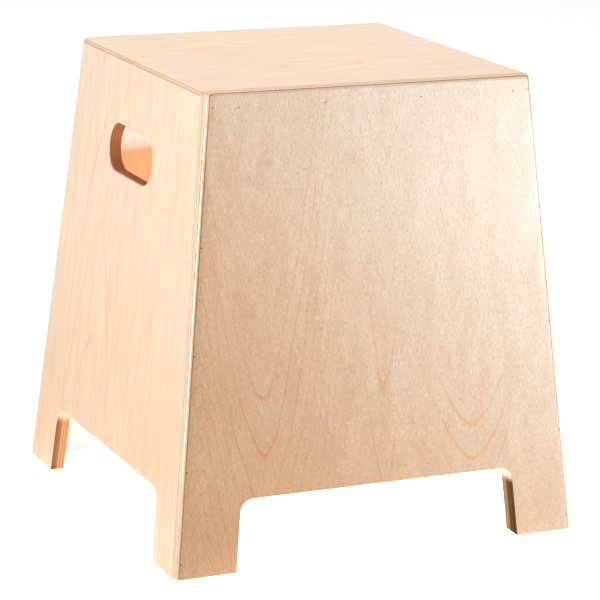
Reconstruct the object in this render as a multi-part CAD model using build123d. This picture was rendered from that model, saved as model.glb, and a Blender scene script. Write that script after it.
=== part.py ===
from build123d import *
from math import atan, cos, hypot, radians, sin
import os

# A seat cajon: a tapered plywood box that is open below, stands on cut-out feet and is played on its front.
# Millimetres. +Z is up, the playing face looks along -Y, and the origin is on the floor under the middle.

# Outside shape
HEIGHT = 400.0
TOP_SIDE = 300.0
BASE_SIDE = 377.0
CORNER_RADIUS = 8.5
TOP_RADIUS = 3.5

# Boards
WALL = 12.7
PLAYING_PLY = 4.0
FRAME_PLY = 8.0
SEAT_LIP = WALL / 3
FRONT_DEPTH = PLAYING_PLY + FRAME_PLY
FRAME_DEPTH = FRONT_DEPTH + FRAME_PLY

# Openings between the feet, measured across the floor and up the wall
OPENING_HEIGHT = 61.7
OPENING_RADIUS = 12.0
FRONT_OPENING = 266.0
SIDE_OPENING = 262.6
SIDE_OPENING_SHIFT = 4.7

# Hand holes in the two sides
HANDLE_LENGTH = 105.0
HANDLE_HEIGHT = 41.2
HANDLE_DOWN = 79.4
HANDLE_BACK = 4.0
HANDLE_EASE = 2.0

# Window of the front frame, behind the playing panel
FRAME_STILE = 30.0
FRAME_TOP_RAIL = 28.0
FRAME_BOTTOM_RAIL = 26.0
WINDOW_RADIUS = 20.0

# Brads that pin the playing panel to its frame
BRAD_RADIUS = 0.65
BRAD_LENGTH = 9.5
BRAD_SINK = 0.5
BRAD_EDGE = 5.0
BRAD_FIRST_EDGE = 6.7
BRAD_TOP = 13.0
BRADS_DOWN_SIDE = [12.0, 126.0, 215.0, 312.0, 389.0]
BRADS_ACROSS_TOP = [-122.0, -44.0, 44.0, 131.0]

# Battens that stiffen the seat
BATTEN = 18.0
BATTEN_CLEARANCE = 6.0
BATTEN_SCREWS = 3

# Snare: a bar across the box with two fans of coiled wire that lean on the playing panel
BAR_UP = 255.0
BAR_HEIGHT = 28.0
BAR_THICKNESS = 16.0
PLATE_LENGTH = 46.0
PLATE_HEIGHT = 9.0
PLATE_THICKNESS = 1.8
PLATE_OFFSET = 52.0
FAN_TURN = 18.0
WIRES_PER_FAN = 8
WIRE_RADIUS = 0.6
WIRE_LENGTH = 88.0
WIRE_GAP = 0.2

# Screws, shank radius, head radius, head height and length
SCREW_SHANK = 1.5
SCREW_HEAD = 3.2
SCREW_HEAD_HEIGHT = 1.8
BATTEN_SCREW_LENGTH = 24.0
BAR_SCREW_LENGTH = 22.0
PLATE_SCREW_LENGTH = 12.0

# Tools and derived sizes
BIG = 600.0
PAST = 1.0
RUN = (BASE_SIDE - TOP_SIDE) / 2
TAPER = atan(RUN / HEIGHT)
SLOPE = HEIGHT / cos(TAPER)
EDGE_TAPER = RUN / SLOPE
UNDERSIDE = HEIGHT - WALL

FRONT, RIGHT, BACK, LEFT = 0, 90, 180, 270
SIDES = {"left": LEFT, "right": RIGHT}
TOWARDS = {"left": -1, "right": 1}


def wall_plane(turn, depth=0.0):
    """A plane inside a wall's outer face: x runs across it, y up its slope and z outwards."""
    angle = radians(turn)
    across = Vector(cos(angle), sin(angle), 0)
    outward = Vector(sin(angle) * cos(TAPER), -cos(angle) * cos(TAPER), sin(TAPER))
    foot = Vector(sin(angle), -cos(angle), 0) * (BASE_SIDE / 2)
    return Plane(origin=foot - outward * depth, x_dir=across, z_dir=outward)


def slab(turn, start, end):
    """Everything between two depths inside a wall."""
    return extrude(wall_plane(turn, start) * Rectangle(2 * BIG, 2 * BIG), -(end - start))


def layer(bottom, top):
    """Everything between two heights above the floor."""
    return Pos(0, 0, bottom) * Box(BIG, BIG, top - bottom, align=(Align.CENTER, Align.CENTER, Align.MIN))


def envelope():
    """The outside shape, with rounded upright corners and an eased top edge."""
    floor = Rectangle(BASE_SIDE, BASE_SIDE)
    seat = Pos(0, 0, HEIGHT) * Rectangle(TOP_SIDE, TOP_SIDE)
    body = loft([floor, seat])
    uprights = body.edges().filter_by(lambda edge: abs(edge.tangent_at(0.5).Z) > 0.5)
    body = fillet(uprights, CORNER_RADIUS)
    return fillet(body.edges().group_by(Axis.Z)[-1], TOP_RADIUS)


def between_sides(front_depth):
    """The space between the inner faces of the two sides, from a depth inside the front to the back."""
    reach = 2 * BASE_SIDE
    space = slab(LEFT, WALL, reach) & slab(RIGHT, WALL, reach)
    return space & slab(FRONT, front_depth, reach) & slab(BACK, 0, reach) & layer(0, UNDERSIDE)


def half_width(up):
    """Half the width of a wall, at a height measured up its slope."""
    return BASE_SIDE / 2 - up * EDGE_TAPER


def trapezoid(half_base, bottom, top, radius, corners, shift=0.0):
    """A shape whose sides run parallel to a wall's edges, with rounded corners at its top or all round."""
    low = half_base - bottom * EDGE_TAPER
    high = half_base - top * EDGE_TAPER
    points = [(shift - low, bottom), (shift + low, bottom), (shift + high, top), (shift - high, top)]
    shape = make_face(Polyline(*points, close=True))
    rounded = shape.vertices() if corners == "all" else shape.vertices().group_by(Axis.Y)[-1]
    return fillet(rounded, radius)


def through(turn, shape, start, end):
    """A shape on a wall's outer face, cut square through the depths from start to end."""
    return extrude(wall_plane(turn, start - PAST) * shape, -(end - start + 2 * PAST))


def leg_opening(turn, width, start, end, shift=0.0):
    """The opening between two feet of a wall."""
    shape = trapezoid(width / 2, -WALL, OPENING_HEIGHT, OPENING_RADIUS, "top", shift)
    return through(turn, shape, start, end)


def frame_window(start, end):
    """The large opening of the front frame, which leaves the playing panel free to ring."""
    bottom = OPENING_HEIGHT + FRAME_BOTTOM_RAIL
    top = SLOPE - WALL - FRAME_TOP_RAIL
    shape = trapezoid(BASE_SIDE / 2 - WALL - FRAME_STILE, bottom, top, WINDOW_RADIUS, "all")
    return through(FRONT, shape, start, end)


def handle_hole(turn):
    """A hand hole with round ends, eased where a hand meets it on both faces."""
    back = HANDLE_BACK * sin(radians(turn))
    up = SLOPE - HANDLE_DOWN
    outline = Pos(back, up) * SlotOverall(HANDLE_LENGTH, HANDLE_HEIGHT)
    return through(turn, outline, 0, WALL)


def ease_handle(panel, turn):
    """Round the rims of the hand hole."""
    back = HANDLE_BACK * sin(radians(turn))
    centre = wall_plane(turn, WALL / 2).from_local_coords((back, SLOPE - HANDLE_DOWN, 0))
    reach = hypot(HANDLE_LENGTH / 2, WALL / 2) + PAST
    rims = panel.edges().filter_by(lambda edge: (edge.center() - Vector(centre)).length < reach)
    square = wall_plane(turn).z_dir
    rims = rims.filter_by(lambda edge: abs(edge.tangent_at(0.5).dot(square)) < 0.5)
    return fillet(rims, HANDLE_EASE)


def side_panel(core, turn):
    """A side, from the front frame to the back, with its hand hole and its two feet."""
    panel = core & slab(turn, 0, WALL) & layer(0, HEIGHT - SEAT_LIP)
    shift = SIDE_OPENING_SHIFT * -sin(radians(turn))
    panel -= leg_opening(turn, SIDE_OPENING, 0, WALL, shift)
    panel -= handle_hole(turn)
    return ease_handle(panel, turn)


def seat_panel(core):
    """The seat, rabbeted over both sides so that only a thin lip covers their top edges."""
    panel = core & layer(UNDERSIDE, HEIGHT)
    for turn in SIDES.values():
        panel -= slab(turn, -WALL, WALL) & layer(0, HEIGHT - SEAT_LIP)
    return panel


def back_panel():
    """The back, set between the sides and under the seat."""
    panel = slab(BACK, 0, WALL) & between_sides(FRAME_DEPTH)
    return panel - leg_opening(BACK, FRONT_OPENING, 0, WALL)


def playing_panel(shell):
    """The thin front board that is struck."""
    return (shell & slab(FRONT, 0, PLAYING_PLY)) - leg_opening(FRONT, FRONT_OPENING, 0, PLAYING_PLY)


def front_frame(blank, start, end):
    """One layer of the frame that holds the playing panel."""
    frame = blank & slab(FRONT, start, end)
    frame -= leg_opening(FRONT, FRONT_OPENING, start, end)
    return frame - frame_window(start, end)


def pin(plane, radius, length):
    """A round pin that runs inwards from a plane's origin."""
    return extrude(plane * Circle(radius), -length)


def screw(plane, length):
    """A pan head screw whose head stands on a plane and whose shank runs inwards."""
    shank = pin(plane, SCREW_SHANK, length)
    head = extrude(plane * Circle(SCREW_HEAD), SCREW_HEAD_HEIGHT)
    rim = head.edges().filter_by(GeomType.CIRCLE).sort_by_distance(plane.origin)[-1]
    head = fillet(rim, SCREW_HEAD_HEIGHT / 2)
    return shank + head


def brad_planes():
    """Where the outer ends of the brads lie, down both sides and across the top of the playing panel."""
    spots = [(x, SLOPE - BRAD_TOP) for x in BRADS_ACROSS_TOP]
    for down in BRADS_DOWN_SIDE:
        edge = BRAD_FIRST_EDGE if down == BRADS_DOWN_SIDE[0] else BRAD_EDGE
        across = half_width(SLOPE - down) - edge
        spots += [(-across, SLOPE - down), (across, SLOPE - down)]
    planes = []
    for x, up in spots:
        sink = BRAD_SINK if abs(x) < half_width(up) - CORNER_RADIUS else BRAD_SINK + BRAD_RADIUS
        start = wall_plane(FRONT, sink)
        planes.append(start.shift_origin(start.from_local_coords((x, up, 0))))
    return planes


def brad_holes():
    """Holes for the brads, open to the front because their ends are set below the surface."""
    mouth = BRAD_SINK + BRAD_RADIUS + PAST
    return [pin(plane.offset(mouth), BRAD_RADIUS, BRAD_LENGTH + mouth) for plane in brad_planes()]


def seat_batten(turn):
    """A square batten in the corner between the seat and a side."""
    length = TOP_SIDE - FRAME_DEPTH - WALL - 2 * BATTEN_CLEARANCE
    middle = (FRAME_DEPTH - WALL) / 2
    block = Pos(0, middle, 0) * Box(BIG, length, 2 * BIG)
    return block & slab(turn, WALL, WALL + BATTEN) & layer(UNDERSIDE - BATTEN, UNDERSIDE)


def batten_screws(turn):
    """Screws up through a batten into the seat."""
    across = TOP_SIDE / 2 - WALL / cos(TAPER) + EDGE_TAPER * WALL - BATTEN / 2
    pitch = (TOP_SIDE - FRAME_DEPTH - WALL) / BATTEN_SCREWS
    screws = []
    for number in range(BATTEN_SCREWS):
        along = (FRAME_DEPTH - WALL) / 2 + (number - (BATTEN_SCREWS - 1) / 2) * pitch
        centre = (across * sin(radians(turn)), along, UNDERSIDE - BATTEN)
        screws.append(screw(Plane(origin=centre, x_dir=(1, 0, 0), z_dir=(0, 0, -1)), BATTEN_SCREW_LENGTH))
    return screws


def snare_bar():
    """The wooden bar across the box, behind the front frame."""
    bar = slab(FRONT, FRAME_DEPTH, FRAME_DEPTH + BAR_THICKNESS) & between_sides(FRAME_DEPTH)
    across = wall_plane(FRONT, 0) * Pos(0, BAR_UP) * Rectangle(BIG, BAR_HEIGHT)
    return bar & extrude(across, -BIG)


def bar_screws():
    """Two screws at each end of the bar, driven forwards into the frame."""
    across = half_width(BAR_UP) - WALL - FRAME_STILE / 2
    rear = wall_plane(FRONT, FRAME_DEPTH + BAR_THICKNESS)
    screws = []
    for x in (-across, across):
        for step in (-BAR_HEIGHT / 4, BAR_HEIGHT / 4):
            centre = rear.from_local_coords((x, BAR_UP + step, 0))
            screws.append(screw(Plane(origin=centre, x_dir=rear.x_dir, z_dir=-rear.z_dir), BAR_SCREW_LENGTH))
    return screws


def fan_plane(side, depth):
    """A plane at the root of one fan of wires, with y along the fan."""
    spot = Pos(side * PLATE_OFFSET, BAR_UP) * Rot(0, 0, side * FAN_TURN)
    return Plane(wall_plane(FRONT, depth).location * spot)


def snare_plate(side):
    """The metal strip that a fan of wires is soldered to."""
    return extrude(fan_plane(side, FRAME_DEPTH) * Rectangle(PLATE_LENGTH, PLATE_HEIGHT), PLATE_THICKNESS)


def plate_screws(side):
    """Two screws through a plate into the bar."""
    face = fan_plane(side, FRAME_DEPTH - PLATE_THICKNESS)
    across = PLATE_LENGTH / 2 - SCREW_HEAD - PAST
    planes = [face.shift_origin(face.from_local_coords((x, 0, 0))) for x in (-across, across)]
    return [screw(plane, PLATE_SCREW_LENGTH) for plane in planes]


def snare_wires(side):
    """A fan of wires, from the upper edge of its plate forwards to the back of the playing panel."""
    root = fan_plane(side, FRAME_DEPTH - PLATE_THICKNESS / 2)
    rise = FRAME_DEPTH - PLATE_THICKNESS / 2 - PLAYING_PLY - WIRE_RADIUS - WIRE_GAP
    pitch = PLATE_LENGTH / WIRES_PER_FAN
    plate = snare_plate(side)
    wires = []
    for number in range(WIRES_PER_FAN):
        x = (number - (WIRES_PER_FAN - 1) / 2) * pitch
        start = root.from_local_coords((x, PLATE_HEIGHT / 2 - WIRE_RADIUS, 0))
        end = root.from_local_coords((x, PLATE_HEIGHT / 2 + WIRE_LENGTH, rise))
        line = Edge.make_line(start, end)
        wire = extrude(Plane(origin=start, z_dir=line.tangent_at(0)) * Circle(WIRE_RADIUS), line.length)
        wires.append(wire - plate)
    return wires


def drill(board, pins):
    """Cut a board to fit the pins or screws that pass through it."""
    for solid in pins:
        board = board - solid
    return board


def save(node, shape):
    """Write a node, which is one solid or a group of separate ones."""
    solids = shape if isinstance(shape, list) else [shape]
    group = [solid for item in solids for solid in item.solids()]
    node_shape = group[0] if len(group) == 1 else Compound(children=group)
    export_step(node_shape, os.path.join("parts", node + ".step"))


def build():
    """Make every piece of the cajon."""
    shell = envelope()
    core = shell & slab(FRONT, FRONT_DEPTH, 2 * BASE_SIDE)
    brads = [pin(plane, BRAD_RADIUS, BRAD_LENGTH) for plane in brad_planes()]
    mounting = bar_screws()
    plates = {name: snare_plate(side) for name, side in TOWARDS.items()}
    fixings = {name: plate_screws(side) for name, side in TOWARDS.items()}
    up_screws = {name: batten_screws(turn) for name, turn in SIDES.items()}
    all_up = up_screws["left"] + up_screws["right"]
    all_plate = fixings["left"] + fixings["right"]
    inner_blank = between_sides(FRONT_DEPTH)

    pieces = {
        "seat_panel": drill(seat_panel(core), all_up),
        "left_side_panel": side_panel(core, LEFT),
        "right_side_panel": side_panel(core, RIGHT),
        "back_panel": back_panel(),
        "playing_panel": drill(playing_panel(shell), brad_holes()),
        "front_frame_outer": drill(front_frame(shell, PLAYING_PLY, FRONT_DEPTH), brads),
        "front_frame_inner": drill(front_frame(inner_blank, FRONT_DEPTH, FRAME_DEPTH), mounting),
        "playing_panel_brads": brads,
        "snare_bar": drill(snare_bar(), mounting + all_plate),
        "snare_bar_screws": mounting,
        "snare_plate_screws": all_plate,
        "seat_batten_screws": all_up,
    }
    for name, turn in SIDES.items():
        pieces["seat_batten_" + name] = drill(seat_batten(turn), up_screws[name])
        pieces["snare_plate_" + name] = drill(plates[name], fixings[name])
        pieces["snare_wires_" + name] = snare_wires(TOWARDS[name])
    return pieces


def main():
    os.makedirs("parts", exist_ok=True)
    for node, shape in build().items():
        save(node, shape)


main()
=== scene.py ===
from math import atan, cos, radians, sin

import bpy
from mathutils import Matrix, Vector


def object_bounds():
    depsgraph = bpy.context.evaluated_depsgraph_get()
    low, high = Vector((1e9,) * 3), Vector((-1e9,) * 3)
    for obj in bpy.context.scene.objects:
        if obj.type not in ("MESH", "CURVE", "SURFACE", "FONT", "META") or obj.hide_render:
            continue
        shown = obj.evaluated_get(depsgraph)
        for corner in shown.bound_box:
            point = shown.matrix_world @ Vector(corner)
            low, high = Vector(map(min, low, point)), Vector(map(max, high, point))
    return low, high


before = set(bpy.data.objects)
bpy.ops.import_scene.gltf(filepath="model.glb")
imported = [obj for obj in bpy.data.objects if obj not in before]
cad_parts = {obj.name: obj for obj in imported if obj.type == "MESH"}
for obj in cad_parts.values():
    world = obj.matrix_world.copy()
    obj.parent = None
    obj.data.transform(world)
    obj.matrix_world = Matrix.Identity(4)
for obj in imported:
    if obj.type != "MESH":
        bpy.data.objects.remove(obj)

CAD_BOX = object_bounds()

# The cajon's own sizes, in metres
HEIGHT = CAD_BOX[1][2]
BASE = CAD_BOX[1][0]
TOP = 0.150
TAPER = atan((BASE - TOP) / HEIGHT)
SLOPE = HEIGHT / cos(TAPER)
EDGE_TAPER = (BASE - TOP) / SLOPE
WALL = 0.0127
PLAYING_PLY = 0.004
FRAME_PLY = 0.008
MM = 1000

# The charred cuts, in millimetres on a board's face
HANDLE_UP = (SLOPE - 0.0794) * MM
HANDLE_OFFSET = 4.0
HANDLE_REACH = (58.0, 26.0)
CHAR_FADE = (46.0, 58.0)
FOOT_LIMIT = 66.0
FOOT_DEPTHS = (3.5, 6.5)
OUTER_EDGE = 12.0
SEAM_CHAR = 0.75
SMOKE_SCALES = (0.09, 0.09, 0.3)

# Noise is stretched between these values, and each kind of mark in a board has a seed one step further on
NOISE_RANGE = (0.25, 0.75)
SEED_STEP = 20.0
PLY_SEED = 7.3
STREAK_ROUGHNESS = 0.55

# The width and length of the marks in a veneer, in millimetres, and the scales of the spots on end grain
PATCHES = (45.0, 110.0)
FLECKS = (2.6, 22.0)
PORES = (0.36, 3.3)
END_SPOTS = (1.6, 0.4, 1.6)

# Growth lines: how far in millimetres they wander slowly and quickly, how blunt their tips are, the scales
# of the noise that bends and fades them, and between which parts of one spacing a line darkens and ends
DRIFT = 13.0
JITTER = 2.0
BLUNT = 30.0
SLOW_BENDS = (0.02, 0.006)
QUICK_BENDS = (0.12, 0.03)
FADES = (0.03, 0.012)
LINE_START = (0.80, 0.97)
LINE_END = (0.985, 1.0)

# The lacquer's specular level on the face and on end grain, and what an upright rounded edge adds to it
FACE_SHINE = 0.5
END_SHINE = 0.15
EDGE_SHINE = 0.8

# An upright rounded edge has its own roughness and strength of bump. Char adds to the roughness. The depth
# of the bumps is in metres.
EDGE_ROUGHNESS = 0.1
EDGE_BUMP = 0.02
CHAR_ROUGHNESS = 0.25
BUMP_DEPTH = 0.0001

# How much the streaks, pores, glue lines and end grain stand out as relief
STREAK_RELIEF = 0.6
PORE_RELIEF = 1.5
GLUE_RELIEF = 0.8
END_RELIEF = 0.4

# Two kinds of face veneer. Streak sizes are in millimetres, fine_detail is the finest streaks' noise detail,
# and the rest says how strongly each mark shows.
SMOOTH = dict(fine=(2.3, 42.0), fine_detail=1.0, broad=(9.0, 120.0), broad_warmth=1.0, patch_warmth=0.45,
              lines=0.6, flecks=0.07, darker=0.15, paler=0.1, bump=0.22)
COARSE = dict(fine=(0.6, 12.0), fine_detail=3.0, broad=(13.0, 60.0), broad_warmth=0.85, patch_warmth=0.7,
              lines=0.8, flecks=0.12, darker=0.2, paler=0.14, bump=0.5)
INNER_LINES = 0.08
PORE_SHADE = (0.70, 1.24)
RED_SHADE = (0.6, 1.4)

# Steel: the scales and the detail of its scratches and stains
SCRATCHES = ((900, 900, 4000), 3.0)
STAINS = ((160, 160, 160), 2.0)

# Dark glue lines between the plies: their half widths in millimetres and how strongly they show
SEAMS = dict(core=0.06, edge=0.2, first=0.4, rest=0.4, tone=(0.50, 0.27, 0.12))
FRONT_SEAMS = dict(core=0.12, edge=0.4, first=0.95, rest=0.15, tone=(0.22, 0.11, 0.045))
SEAT_SEAMS = dict(core=0.06, edge=0.2, first=0.25, rest=0.25, tone=(0.50, 0.27, 0.12))
TOP_EDGE_SPREAD = 2.5

# Colours of birch: along the grain, in its growth lines, on end grain and where it is cut or charred
PALE = (0.80, 0.63, 0.45)
WARM = (0.76, 0.55, 0.36)
LINE = (0.78, 0.42, 0.18)
FRONT_PALE = (0.55, 0.40, 0.265)
FRONT_WARM = (0.50, 0.335, 0.20)
FRONT_LINE = (0.52, 0.26, 0.10)
ENDS = ((0.52, 0.33, 0.18), (0.66, 0.46, 0.29))
FRONT_ENDS = ((0.60, 0.41, 0.25), (0.74, 0.57, 0.42))
END_SPOT = (0.50, 0.27, 0.12)
SAWN = (0.50, 0.27, 0.16)
FOOT = ((0.28, 0.15, 0.08), (0.62, 0.43, 0.30))
SCORCHED = ((0.30, 0.27, 0.27), (0.30, 0.27, 0.27))
CHARRED = ((0.05, 0.018, 0.006), (0.05, 0.018, 0.006))
CORNER = (0.93, 0.86, 0.76)

# Painted light on an inner face: its tints higher up and lower down, and the heights in millimetres where
# they change
# Orange, a painted stand-in for light bounced round the inside
INNER_BOUNCE_TINT = (1.0, 0.87, 0.67)
# Paler and bluer, painted light where light comes in low down through the openings between the feet
INNER_LOW_LIGHT_TINT = (1.0, 1.08, 1.6)
INNER_RISE = (60.0, 150.0)

# Painted shade and light on a board: how far it leans to one side, and the tints at its lower and upper ends
# Sides, back and frames: painted shade towards the bottom and painted light towards the top
SIDE_LIGHT_RAMP = (0.0, (0.94, 0.785, 0.63), (1.05, 1.09, 1.15))
# Playing panel: painted shade at its lower left and a painted pale sheen at its upper right
FRONT_LIGHT_RAMP = (0.55, (0.86, 0.72, 0.59), (1.0, 1.16, 1.44))
# The seat's two tints are the same, so it gets one even tint that raises its blue a little
TOP_TINT = (0.0, (1.0, 1.02, 1.12), (1.0, 1.02, 1.12))
LIGHT_RAMP_RANGE = (-0.25, 1.2)


class Graph:
    """A node material, built with one short call for each node."""

    def __init__(self, name):
        self.material = bpy.data.materials.new(name)
        self.material.use_nodes = True
        self.tree = self.material.node_tree
        self.tree.nodes.clear()

    def node(self, kind, inputs=(), **settings):
        made = self.tree.nodes.new(kind)
        for key, value in settings.items():
            setattr(made, key, value)
        for key, value in dict(inputs).items():
            self.put(value, made.inputs[key])
        return made

    def put(self, value, socket):
        if isinstance(value, bpy.types.NodeSocket):
            self.tree.links.new(value, socket)
        else:
            socket.default_value = value

    def math(self, operation, a, b=0.0):
        return self.node("ShaderNodeMath", {0: a, 1: b}, operation=operation).outputs[0]

    def add(self, a, b):
        return self.math("ADD", a, b)

    def subtract(self, a, b):
        return self.math("SUBTRACT", a, b)

    def multiply(self, a, b):
        return self.math("MULTIPLY", a, b)

    def size(self, a):
        return self.math("ABSOLUTE", a)

    def greater(self, a, b):
        return self.math("MAXIMUM", a, b)

    def below(self, value, limit):
        return self.math("LESS_THAN", value, limit)

    def clamp(self, value, low, high):
        return self.math("MINIMUM", self.greater(value, low), high)

    def dot(self, a, b):
        return self.node("ShaderNodeVectorMath", {0: a, 1: b}, operation="DOT_PRODUCT").outputs["Value"]

    def combine(self, x, y, z):
        return self.node("ShaderNodeCombineXYZ", {0: x, 1: y, 2: z}).outputs[0]

    def place(self):
        """The point's place in metres, in the cajon's own frame."""
        return self.node("ShaderNodeTexCoord").outputs["Object"]

    def scaled(self, scale):
        """The point's place with each axis stretched by its own scale."""
        return self.node("ShaderNodeMapping", {"Vector": self.place(), "Scale": scale}).outputs[0]

    def ramp(self, value, low, high, start=0.0, end=1.0):
        """A smooth step from start to end while the value goes from low to high."""
        inputs = {"Value": value, "From Min": low, "From Max": high, "To Min": start, "To Max": end}
        return self.node("ShaderNodeMapRange", inputs, interpolation_type="SMOOTHSTEP").outputs[0]

    def linear(self, value, low, high, start=0.0, end=1.0):
        """A straight change from start to end while the value goes from low to high."""
        inputs = {"Value": value, "From Min": low, "From Max": high, "To Min": start, "To Max": end}
        return self.node("ShaderNodeMapRange", inputs).outputs[0]

    def mix(self, kind, sockets, output, **settings):
        """A Mix node, whose sockets go by number because each kind of value has its own set of them."""
        made = self.node("ShaderNodeMix", data_type=kind, **settings)
        for number, value in sockets.items():
            self.put(value, made.inputs[number])
        return made.outputs[output]

    def choose(self, factor, a, b):
        """A number that goes from a to b."""
        return self.mix("FLOAT", {0: factor, 2: a, 3: b}, 0)

    def turn(self, factor, a, b):
        """A direction that goes from a to b."""
        return self.mix("VECTOR", {0: factor, 4: tuple(a), 5: tuple(b)}, 1)

    def colour(self, factor, a, b, blend="MIX"):
        """A colour that goes from a to b."""
        a, b = ((*value, 1.0) if isinstance(value, tuple) else value for value in (a, b))
        return self.mix("RGBA", {0: factor, 6: a, 7: b}, 2, blend_type=blend)

    def tint(self, colour, by):
        """A colour multiplied by another."""
        return self.colour(1.0, colour, by, "MULTIPLY")

    def noise(self, where, detail=2.0, roughness=0.5):
        inputs = {"Vector": where, "Scale": 1.0, "Detail": detail, "Roughness": roughness}
        return self.node("ShaderNodeTexNoise", inputs).outputs[0]

    def bump(self, height, strength):
        inputs = {"Height": height, "Strength": strength, "Distance": BUMP_DEPTH}
        return self.node("ShaderNodeBump", inputs).outputs[0]

    def finish(self, **sockets):
        """Join the shader to the output. Numbers and colours that are the same all over go straight on it."""
        shader = self.node("ShaderNodeBsdfPrincipled")
        for key, value in sockets.items():
            self.put(value, shader.inputs[key.replace("_", " ")])
        self.node("ShaderNodeOutputMaterial", {"Surface": shader.outputs[0]})
        return self.material


class Panel:
    """One plywood board: where its outer face lies, which way its grain runs and how thick its plies are."""

    def __init__(self, across, along, out, foot, thickness=WALL, plies=9):
        self.across, self.along, self.out, self.foot = across, along, out, foot
        self.plies = plies
        self.ply = thickness / plies * MM


def wall(turn, start=0.0, thickness=WALL, plies=9):
    """A leaning board, turned about the cajon's axis. Its outer face starts this far in from the outside."""
    angle = radians(turn)
    across = Vector((cos(angle), sin(angle), 0))
    out = Vector((sin(angle) * cos(TAPER), -cos(angle) * cos(TAPER), sin(TAPER)))
    foot = Vector((sin(angle), -cos(angle), 0)) * BASE - out * start
    return Panel(across, out.cross(across), out, foot, thickness, plies)


class Point:
    """Node sockets that say where in a board's plies a point lies, in millimetres, and how it faces."""

    def __init__(self, g, panel):
        place = g.place()
        found = []
        for axis, sign in ((panel.across, 1), (panel.along, 1), (panel.out, -1)):
            flat = g.dot(place, tuple(axis * sign * MM))
            found.append(g.subtract(flat, panel.foot.dot(axis) * sign * MM))
        self.across, self.along, self.depth = found
        self.facing = g.node("ShaderNodeNewGeometry").outputs["Normal"]
        self.layer = g.multiply(self.depth, 1 / panel.ply)
        self.index = g.clamp(g.math("FLOOR", self.layer), 0.0, panel.plies - 1.0)
        self.odd = g.math("MODULO", self.index, 2.0)
        self.u = g.choose(self.odd, self.across, self.along)
        self.v = g.choose(self.odd, self.along, self.across)
        self.ply_seed = g.multiply(self.index, PLY_SEED)
        self.face = g.below(self.index, 0.5)
        self.flat = g.size(g.dot(self.facing, tuple(panel.out)))
        self.upward = g.dot(self.facing, (0.0, 0.0, 1.0))
        self.upright = g.multiply(g.ramp(self.flat, 0.8, 0.97, 1.0, 0.0), g.below(g.size(self.upward), 0.3))
        grain = g.turn(self.odd, panel.along, panel.across)
        self.endwise = g.ramp(g.size(g.dot(self.facing, grain)), 0.35, 0.8)


def waves(g, u, v, scales, seed):
    """Slow noise with its own scale across the grain and along it."""
    return g.noise(g.combine(g.multiply(u, scales[0]), g.multiply(v, scales[1]), seed))


def growth_lines(g, u, v, seed, centre, tip, spacing, steep, upward, span):
    """Thin growth lines: nested V shapes on one centre line that fade at a distance of span from it."""
    drift = g.multiply(g.subtract(waves(g, u, v, SLOW_BENDS, seed), 0.5), DRIFT)
    jitter = g.multiply(g.subtract(waves(g, u, v, QUICK_BENDS, seed + 4.0), 0.5), JITTER)
    out = g.subtract(g.add(u, g.add(drift, jitter)), centre)
    reach = g.math("POWER", g.add(g.multiply(out, out), BLUNT), 0.75)
    height = g.multiply(v, upward)
    level = g.subtract(g.subtract(height, tip * upward), g.multiply(reach, steep))
    phase = g.math("FRACT", g.multiply(level, 1 / spacing))
    line = g.multiply(g.ramp(phase, *LINE_START), g.ramp(phase, *LINE_END, 1.0, 0.0))
    strength = waves(g, u, v, FADES, seed + 9.0)
    heart = g.ramp(level, spacing * 1.2, spacing * 2.0, 1.0, 0.2)
    near = g.multiply(heart, g.ramp(g.size(out), span * 0.7, span, 1.0, 0.0))
    return g.multiply(g.multiply(line, near), g.ramp(strength, 0.3, 0.65, 0.3, 1.0))


def streaks(g, at, size, seed, detail=3.0):
    """Fine noise drawn out along the grain, of a given width and length."""
    wide, long = size
    where = g.combine(g.multiply(at.u, 1 / wide), g.multiply(at.v, 1 / long), g.add(at.ply_seed, seed))
    return g.noise(where, detail, STREAK_ROUGHNESS)


def tint_and_light_ramp(g, at, tone, lean, low, high):
    """Painted shade and light: a slow change of tone from a board's lower end to its upper end, leaning to
    one side.
    """
    rise = g.add(g.multiply(at.along, 1 / (SLOPE * MM)), g.multiply(at.across, lean / (BASE * MM)))
    return g.tint(tone, g.colour(g.ramp(rise, *LIGHT_RAMP_RANGE), low, high))


def glue_lines(g, at, panel, seams, coarse):
    """How much a point lies in a glue line, and how strongly that line shows."""
    seam = g.clamp(g.math("ROUND", at.layer), 1.0, panel.plies - 1.0)
    spread = g.linear(at.upward, 0.2, 0.8, 1.0, TOP_EDGE_SPREAD) if coarse else 1.0
    from_seam = g.math("DIVIDE", g.multiply(g.size(g.subtract(at.layer, seam)), panel.ply), spread)
    strong = g.choose(g.below(seam, 1.5), seams["rest"], seams["first"])
    return g.ramp(from_seam, seams["core"], seams["edge"], 1.0, 0.0), strong


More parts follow.
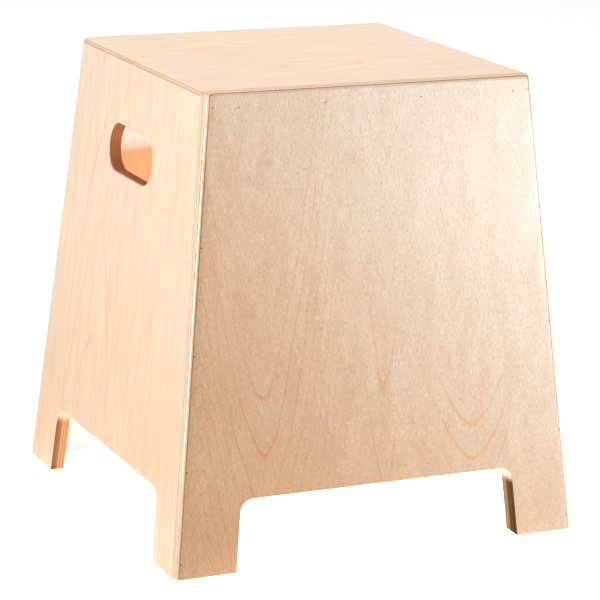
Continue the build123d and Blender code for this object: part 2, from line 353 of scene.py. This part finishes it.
def veneer(g, at, panel, veneers, pale, warm, line, tint_and_light, seed, rings):
    """The colour of the long grain, with its painted shade and light, before its finest streaks."""
    broad = streaks(g, at, veneers["broad"], seed + SEED_STEP)
    patch = streaks(g, at, PATCHES, seed + 2 * SEED_STEP, 2.0)
    flecks = g.ramp(streaks(g, at, FLECKS, seed + 3 * SEED_STEP, 2.0), 0.62, 0.76)
    lines = 0.0
    for number, ring in enumerate(rings):
        lines = g.greater(lines, growth_lines(g, at.across, at.along, seed + number, **ring))
    warmth = g.greater(g.ramp(broad, 0.3, 0.72, 0.1, veneers["broad_warmth"]),
                       g.multiply(g.ramp(patch, 0.35, 0.7), veneers["patch_warmth"]))
    tone = g.colour(warmth, g.colour(at.face, PALE, pale), g.colour(at.face, WARM, warm))
    inner = g.multiply(g.ramp(at.flat, 0.8, 0.95), g.ramp(at.index, panel.plies - 2.0, panel.plies - 1.0))
    tone = g.colour(g.multiply(lines, g.linear(inner, 0.0, 1.0, veneers["lines"], INNER_LINES)), tone, line)
    tone = g.colour(g.multiply(flecks, veneers["flecks"]), tone, line)
    # Painted shade and light on the face ply, ramping from its lower end to its upper end
    tone = g.colour(at.face, tone, tint_and_light_ramp(g, at, tone, *tint_and_light))
    # Painted light on the inner faces: orange higher up, paler and bluer low down
    inside_light_tint = g.colour(g.ramp(at.along, *INNER_RISE), INNER_LOW_LIGHT_TINT, INNER_BOUNCE_TINT)
    return g.colour(inner, tone, g.tint(tone, inside_light_tint))


def shaded(g, tone, fine, pores, veneers, grain):
    """The finest streaks and pores, as light and dark on the tone. Smooth veneer keeps more of its red."""
    shade = g.linear(fine, *NOISE_RANGE, 1.0 - veneers["darker"] * grain, 1.0 + veneers["paler"] * grain)
    if pores is None:
        return g.tint(tone, g.combine(g.linear(shade, 0.0, 2.0, *RED_SHADE), shade, shade))
    shade = g.multiply(shade, g.linear(pores, *NOISE_RANGE, *PORE_SHADE))
    return g.tint(tone, g.combine(shade, shade, shade))


def cut_edges(g, at, panel, holes):
    """Where the cutter charred the board: in its handle hole and along the openings between its feet."""
    edge_on = g.ramp(at.flat, 0.35, 0.75, 1.0, 0.0)
    half_width = g.add(g.size(at.across), g.multiply(at.along, EDGE_TAPER))
    inside = g.below(OUTER_EDGE, g.subtract(BASE * MM, half_width))
    cut = g.ramp(at.along, *CHAR_FADE, 1.0, 0.0) if panel.out.z < 0.5 else 0.0
    for centre, up in holes:
        beside = g.below(g.size(g.subtract(at.across, centre)), HANDLE_REACH[0])
        level = g.below(g.size(g.subtract(at.along, up)), HANDLE_REACH[1])
        cut = g.greater(cut, g.multiply(beside, level))
    return g.multiply(g.multiply(edge_on, inside), cut)


def char(g, at, surface, burnt, foot):
    """The cut edges' colour, a little uneven."""
    where = (g.multiply(a, b) for a, b in zip((at.across, at.along, at.depth), SMOKE_SCALES))
    burn = g.multiply(burnt, g.linear(g.noise(g.combine(*where)), 0.2, 0.8, 0.97, 1.0))
    scorch = g.colour(g.below(at.along, FOOT_LIMIT), SAWN, g.colour(g.ramp(at.depth, *FOOT_DEPTHS), *foot))
    return g.colour(burn, surface, g.tint(surface, scorch))


def plywood(name, panel, seed, rings, holes=(), pale=PALE, warm=WARM, line=LINE, ends=ENDS, foot=FOOT,
            tint_and_light=SIDE_LIGHT_RAMP, seams=SEAMS, grain=0.55, gloss=0.26, coarse=False):
    """Lacquered birch plywood whose plies show wherever the board is cut or rounded."""
    g = Graph(name)
    at = Point(g, panel)
    veneers = COARSE if coarse else SMOOTH
    glue, strong = glue_lines(g, at, panel, seams, coarse)
    fine = streaks(g, at, veneers["fine"], seed, veneers["fine_detail"])
    pores = streaks(g, at, PORES, seed + 4 * SEED_STEP, 2.0) if coarse else None
    tone = veneer(g, at, panel, veneers, pale, warm, line, tint_and_light, seed, rings)
    long_grain = shaded(g, tone, fine, pores, veneers, grain)

    where = (g.multiply(a, b) for a, b in zip((at.u, at.v, at.depth), END_SPOTS))
    spots = g.noise(g.combine(*where), 3.0, 0.6)
    end_tone = g.colour(at.odd, *ends)
    end_tone = g.colour(g.ramp(spots, 0.3, 0.7, 0.2, 0.0), end_tone, g.tint(end_tone, END_SPOT))
    surface = g.colour(at.endwise, long_grain, end_tone)
    if coarse:
        surface = g.colour(at.upright, surface, g.tint(surface, CORNER))
    burnt = cut_edges(g, at, panel, holes)
    surface = char(g, at, surface, burnt, foot)
    seam_strength = g.greater(strong, g.multiply(burnt, SEAM_CHAR))
    surface = g.colour(g.multiply(glue, seam_strength), surface, seams["tone"])

    relief = g.multiply(g.subtract(fine, 0.5), STREAK_RELIEF)
    if coarse:
        relief = g.add(relief, g.multiply(g.subtract(pores, 0.5), PORE_RELIEF))
    relief = g.subtract(relief, g.multiply(glue, GLUE_RELIEF))
    relief = g.add(relief, g.multiply(g.multiply(spots, at.endwise), END_RELIEF))
    normal = g.bump(relief, g.linear(at.upright, 0.0, 1.0, veneers["bump"], EDGE_BUMP))
    intact = g.subtract(1.0, burnt)
    satin = g.linear(fine, *NOISE_RANGE, gloss, gloss + 0.1) if coarse else gloss + 0.05
    rough = g.add(satin, g.multiply(burnt, CHAR_ROUGHNESS))
    rough = g.choose(g.multiply(at.upright, intact), rough, EDGE_ROUGHNESS)
    shine = g.add(g.choose(at.endwise, FACE_SHINE, END_SHINE), g.multiply(at.upright, EDGE_SHINE))
    shine = g.multiply(shine, intact)
    return g.finish(Base_Color=surface, Roughness=rough, Normal=normal, Specular_IOR_Level=shine)


def solid_wood(name, tone, dark, axis, seed):
    """Planed softwood with nearly straight growth lines along one axis."""
    g = Graph(name)
    other = {"X": ("Y", "Z"), "Y": ("X", "Z")}[axis]
    parts = g.node("ShaderNodeSeparateXYZ", {0: g.place()}).outputs
    along = g.multiply(parts[axis], MM)
    a, b = (g.multiply(parts[letter], MM) for letter in other)
    bend = waves(g, along, a, (0.012, 0.05), g.add(g.multiply(b, 0.05), seed))
    rings = g.math("FRACT", g.add(g.multiply(g.add(a, g.multiply(b, 0.6)), 0.36), g.multiply(bend, 3.0)))
    late = g.multiply(g.ramp(rings, 0.45, 0.93), g.ramp(rings, 0.95, 1.0, 1.0, 0.0))
    fibre = g.noise(g.combine(g.multiply(along, 0.06), g.multiply(a, 1.4), g.multiply(b, 1.4)), 3.0)
    surface = g.colour(g.multiply(late, 0.7), tone, dark)
    surface = g.colour(g.linear(fibre, 0.3, 0.7, 0.0, 0.25), surface, tuple(c * 0.6 for c in tone))
    return g.finish(Base_Color=surface, Roughness=0.62, Normal=g.bump(g.add(fibre, late), 0.3))


def metal(name, tone, rough, dull, metallic=1.0):
    """Drawn or plated steel with fine scratches and slight dulling."""
    g = Graph(name)
    scratch, stain = (g.noise(g.scaled(scale), detail) for scale, detail in (SCRATCHES, STAINS))
    surface = g.colour(g.ramp(stain, 0.35, 0.7), tone, dull)
    roughness = g.linear(scratch, 0.3, 0.7, rough, rough + 0.15)
    return g.finish(Base_Color=surface, Metallic=metallic, Normal=g.bump(scratch, 0.15), Roughness=roughness)


def ring(centre, tip, spacing, steep, span, upward=1.0):
    """One set of growth lines, in millimetres on the face. Upward is -1 where the V is upside down."""
    return dict(centre=centre, tip=tip, spacing=spacing, steep=steep, span=span, upward=upward)


SEAT = Panel(Vector((0, -1, 0)), Vector((1, 0, 0)), Vector((0, 0, 1)), Vector((0, 0, HEIGHT)))

FRONT_RINGS = [
    ring(-106.0, 92.0, 48.0, 0.62, 80.0),
    ring(90.0, 72.0, 30.0, 0.26, 40.0),
    ring(-162.0, 43.0, 18.0, 0.63, 14.0, -1.0),
    ring(6.0, 40.0, 90.0, 1.6, 16.0),
]
LEFT_RINGS = [ring(-56.0, 143.0, 105.0, 0.4, 75.0, -1.0), ring(34.0, 60.0, 44.0, 1.0, 80.0)]
SEAT_RINGS = [ring(-78.0, -100.0, 60.0, 0.5, 60.0), ring(48.0, 40.0, 70.0, 0.6, 90.0, -1.0)]

BOARDS = {
    "left_side_panel": dict(panel=wall(270), seed=3.0, rings=LEFT_RINGS, holes=[(-HANDLE_OFFSET, HANDLE_UP)]),
    "right_side_panel": dict(panel=wall(90), seed=13.0, rings=[ring(38.0, 110.0, 70.0, 0.5, 80.0)],
                             holes=[(HANDLE_OFFSET, HANDLE_UP)]),
    "back_panel": dict(panel=wall(180), seed=23.0, rings=[ring(20.0, 120.0, 66.0, 0.55, 90.0)]),
    "playing_panel": dict(panel=wall(0, 0.0, PLAYING_PLY, 3), seed=33.0, rings=FRONT_RINGS, coarse=True,
                          pale=FRONT_PALE, warm=FRONT_WARM, line=FRONT_LINE, tint_and_light=FRONT_LIGHT_RAMP, ends=FRONT_ENDS,
                          seams=FRONT_SEAMS, foot=CHARRED, grain=1.0, gloss=0.32),
    "front_frame_outer": dict(panel=wall(0, PLAYING_PLY, FRAME_PLY, 5), seed=43.0, foot=CHARRED, grain=0.7,
                              gloss=0.4, rings=[ring(0.0, 100.0, 60.0, 0.7, 90.0)]),
    "front_frame_inner": dict(panel=wall(0, PLAYING_PLY + FRAME_PLY, FRAME_PLY, 5), seed=53.0, foot=SCORCHED,
                              grain=0.7, gloss=0.4, rings=[ring(60.0, 100.0, 60.0, 0.7, 90.0)]),
    "seat_panel": dict(panel=SEAT, seed=63.0, rings=SEAT_RINGS, tint_and_light=TOP_TINT, ends=FRONT_ENDS,
                       seams=SEAT_SEAMS, grain=0.6),
}


def paint(material, *nodes):
    """Give CAD nodes their material."""
    for node in nodes:
        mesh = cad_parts[node].data
        mesh.materials.clear()
        mesh.materials.append(material)


def paint_all():
    """Give every CAD node the material it is made of."""
    for node, facts in BOARDS.items():
        paint(plywood(node + "_plywood", **facts), node)
    pine = (0.72, 0.53, 0.30)
    resin = (0.50, 0.29, 0.12)
    lengthwise = solid_wood("batten_pine", pine, resin, "Y", 2.0)
    crosswise = solid_wood("bar_pine", pine, resin, "X", 5.0)
    zinc = metal("zinc_steel", (0.62, 0.61, 0.58), 0.28, (0.44, 0.42, 0.38))
    bright = metal("bright_steel", (0.66, 0.66, 0.66), 0.2, (0.5, 0.49, 0.47))
    dark = metal("dark_steel", (0.03, 0.02, 0.015), 0.7, (0.015, 0.01, 0.008), 0.0)
    paint(lengthwise, "seat_batten_left", "seat_batten_right")
    paint(crosswise, "snare_bar")
    paint(dark, "playing_panel_brads")
    paint(zinc, "seat_batten_screws", "snare_bar_screws", "snare_plate_screws")
    paint(zinc, "snare_plate_left", "snare_plate_right")
    paint(bright, "snare_wires_left", "snare_wires_right")


# The camera: its direction from the cajon and its roll in degrees, then its distance and shifts in metres
CAMERA = dict(azimuth=-24.25, elevation=14.59, roll=1.20, distance=2.4667, right_shift=0.00387,
              up_shift=-0.02168)
LENS = 165.0
SENSOR = 36.0


def towards(azimuth, elevation):
    """The direction to a place at this azimuth and elevation in degrees. Azimuth 0 is straight in front."""
    turn, rise = radians(azimuth), radians(elevation)
    return Vector((sin(turn) * cos(rise), -cos(turn) * cos(rise), sin(rise)))


def add_camera(azimuth, elevation, roll, distance, right_shift, up_shift):
    """A long lens, a little left of the front and above it, turned slightly about its own line of sight."""
    back = towards(azimuth, elevation)
    level = Vector((cos(radians(azimuth)), sin(radians(azimuth)), 0))
    upright = back.cross(level)
    right = level * cos(radians(roll)) + upright * sin(radians(roll))
    up = upright * cos(radians(roll)) - level * sin(radians(roll))
    place = Vector((0, 0, HEIGHT / 2)) + back * distance + right * right_shift + up * up_shift
    data = bpy.data.cameras.new("camera")
    data.lens = LENS
    data.sensor_width = SENSOR
    camera = bpy.data.objects.new("camera", data)
    camera.matrix_world = Matrix.Translation(place) @ Matrix((right, up, back)).transposed().to_4x4()
    bpy.context.scene.collection.objects.link(camera)
    bpy.context.scene.camera = camera


# Softboxes: direction from their aim in degrees, distance and size in metres, and power in watts
SOFTBOXES = {
    "left_key": dict(azimuth=-84, elevation=24, distance=1.8, width=1.2, height=1.2, power=4.4),
    "corner_strip": dict(azimuth=-68, elevation=2, distance=1.8, width=0.1, height=1.2, power=7.0),
    "front_fill": dict(azimuth=-36, elevation=28, distance=0.9, width=0.8, height=0.8, power=3.3,
                       aim=(-0.12, -0.16, 0.36)),
    "overhead": dict(azimuth=150, elevation=70, distance=1.8, width=1.4, height=1.4, power=31.5),
    "front_right": dict(azimuth=33, elevation=6, distance=1.6, width=0.4, height=0.4, power=1.6),
    "right_low": dict(azimuth=46, elevation=-0.5, distance=1.2, width=0.6, height=0.07, power=8.7,
                      aim=(0, 0, 0.306)),
    "hand_hole_beam": dict(azimuth=62, elevation=-0.05, distance=1.2, width=0.12, height=0.04, power=0.4,
                           aim=(0.158, 0, 0.318), spread=12, tint=(0.35, 0.46, 1.0)),
}
WORLD_GLOW = 0.4

# The floor's own glow, and the distances from the middle, in metres, between which it changes
FLOOR_GLOW = dict(under=2.8, near=0.15, far=0.55)
UNDER_EDGE = (0.12, 0.32)
FAR_EDGE = (0.6, 1.6)
FLOOR_REACH = 8.0
FLOOR_GAP = 0.0005
WHITE = (1.0, 1.0, 1.0, 1.0)
FLOOR_GREY = (0.9, 0.9, 0.9, 1.0)


def add_softbox(name, azimuth, elevation, distance, width, height, power, aim=(0, 0, 0.2), spread=180,
                tint=(1, 1, 1)):
    """A rectangular softbox, placed by its direction from its aim and turned towards it."""
    target = Vector(aim)
    place = target + towards(azimuth, elevation) * distance
    data = bpy.data.lights.new(name, "AREA")
    data.shape = "RECTANGLE"
    data.size = width
    data.size_y = height
    data.energy = power
    data.spread = radians(spread)
    data.color = tint
    lamp = bpy.data.objects.new(name, data)
    lamp.location = place
    lamp.rotation_euler = (target - place).to_track_quat("-Z", "Y").to_euler()
    bpy.context.scene.collection.objects.link(lamp)


def floor_paint():
    """Pale paint that glows most under the cajon and a little all round."""
    g = Graph("floor_paint")
    parts = g.node("ShaderNodeSeparateXYZ", {0: g.place()}).outputs
    away = g.math("SQRT", g.add(g.multiply(parts["X"], parts["X"]), g.multiply(parts["Y"], parts["Y"])))
    glow = g.ramp(away, *UNDER_EDGE, FLOOR_GLOW["under"], FLOOR_GLOW["near"])
    glow = g.choose(g.ramp(away, *FAR_EDGE), glow, FLOOR_GLOW["far"])
    return g.finish(Base_Color=FLOOR_GREY, Roughness=0.9, Emission_Color=WHITE, Emission_Strength=glow)


def add_floor():
    """A plain pale studio floor that shines by itself, so that no shadow shows on it."""
    mesh = bpy.data.meshes.new("floor")
    corners = [(x * FLOOR_REACH, y * FLOOR_REACH, 0) for x, y in ((-1, -1), (1, -1), (1, 1), (-1, 1))]
    mesh.from_pydata(corners, [], [(0, 1, 2, 3)])
    mesh.materials.append(floor_paint())
    floor = bpy.data.objects.new("floor", mesh)
    floor.location.z = -FLOOR_GAP
    bpy.context.scene.collection.objects.link(floor)


def add_light():
    """Even white light from all round, and the softboxes."""
    world = bpy.data.worlds.new("studio")
    world.use_nodes = True
    background = world.node_tree.nodes["Background"]
    background.inputs["Color"].default_value = WHITE
    background.inputs["Strength"].default_value = WORLD_GLOW
    bpy.context.scene.world = world
    for name, facts in SOFTBOXES.items():
        add_softbox(name, **facts)


bpy.context.scene.view_settings.view_transform = "Standard"
add_camera(**CAMERA)
add_floor()
add_light()
paint_all()
